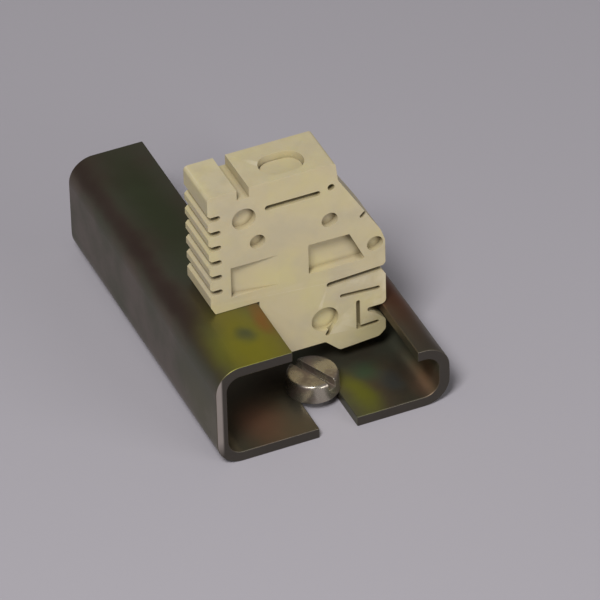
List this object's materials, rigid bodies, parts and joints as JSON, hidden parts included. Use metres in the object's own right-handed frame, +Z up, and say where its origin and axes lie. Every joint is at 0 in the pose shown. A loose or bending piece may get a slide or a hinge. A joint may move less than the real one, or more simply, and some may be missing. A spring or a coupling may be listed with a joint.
{
  "type": "din rail end stop",
  "caption": "Moulded plastic end stop clipped on a short piece of G-section steel mounting rail, with a slotted fixing screw in the rail's base slot.",
  "frame": {"origin": "centre of the rail's flat underside", "axes": "+Z up out of the open rail, +Y along the rail from the end with the screw, +X from the tall side to the low side"},
  "size_m": [0.032, 0.0486, 0.0334],
  "materials": {
    "passivated_steel": "sheet steel, zinc plated with a yellow-green iridescent passivation",
    "beige_plastic": "matt moulded beige plastic",
    "screw_steel": "dull zinc-plated steel"
  },
  "bodies": {
    "rail_body": {"rail": "passivated_steel", "fixing_screw": "screw_steel"},
    "stop_body": {"end_stop": "beige_plastic"}
  },
  "joints": [
    {"name": "stop_slide", "type": "slide", "parent": "rail_body", "child": "stop_body", "axis": [0, 1, 0], "range_m": [-0.011, 0.03]}
  ]
}
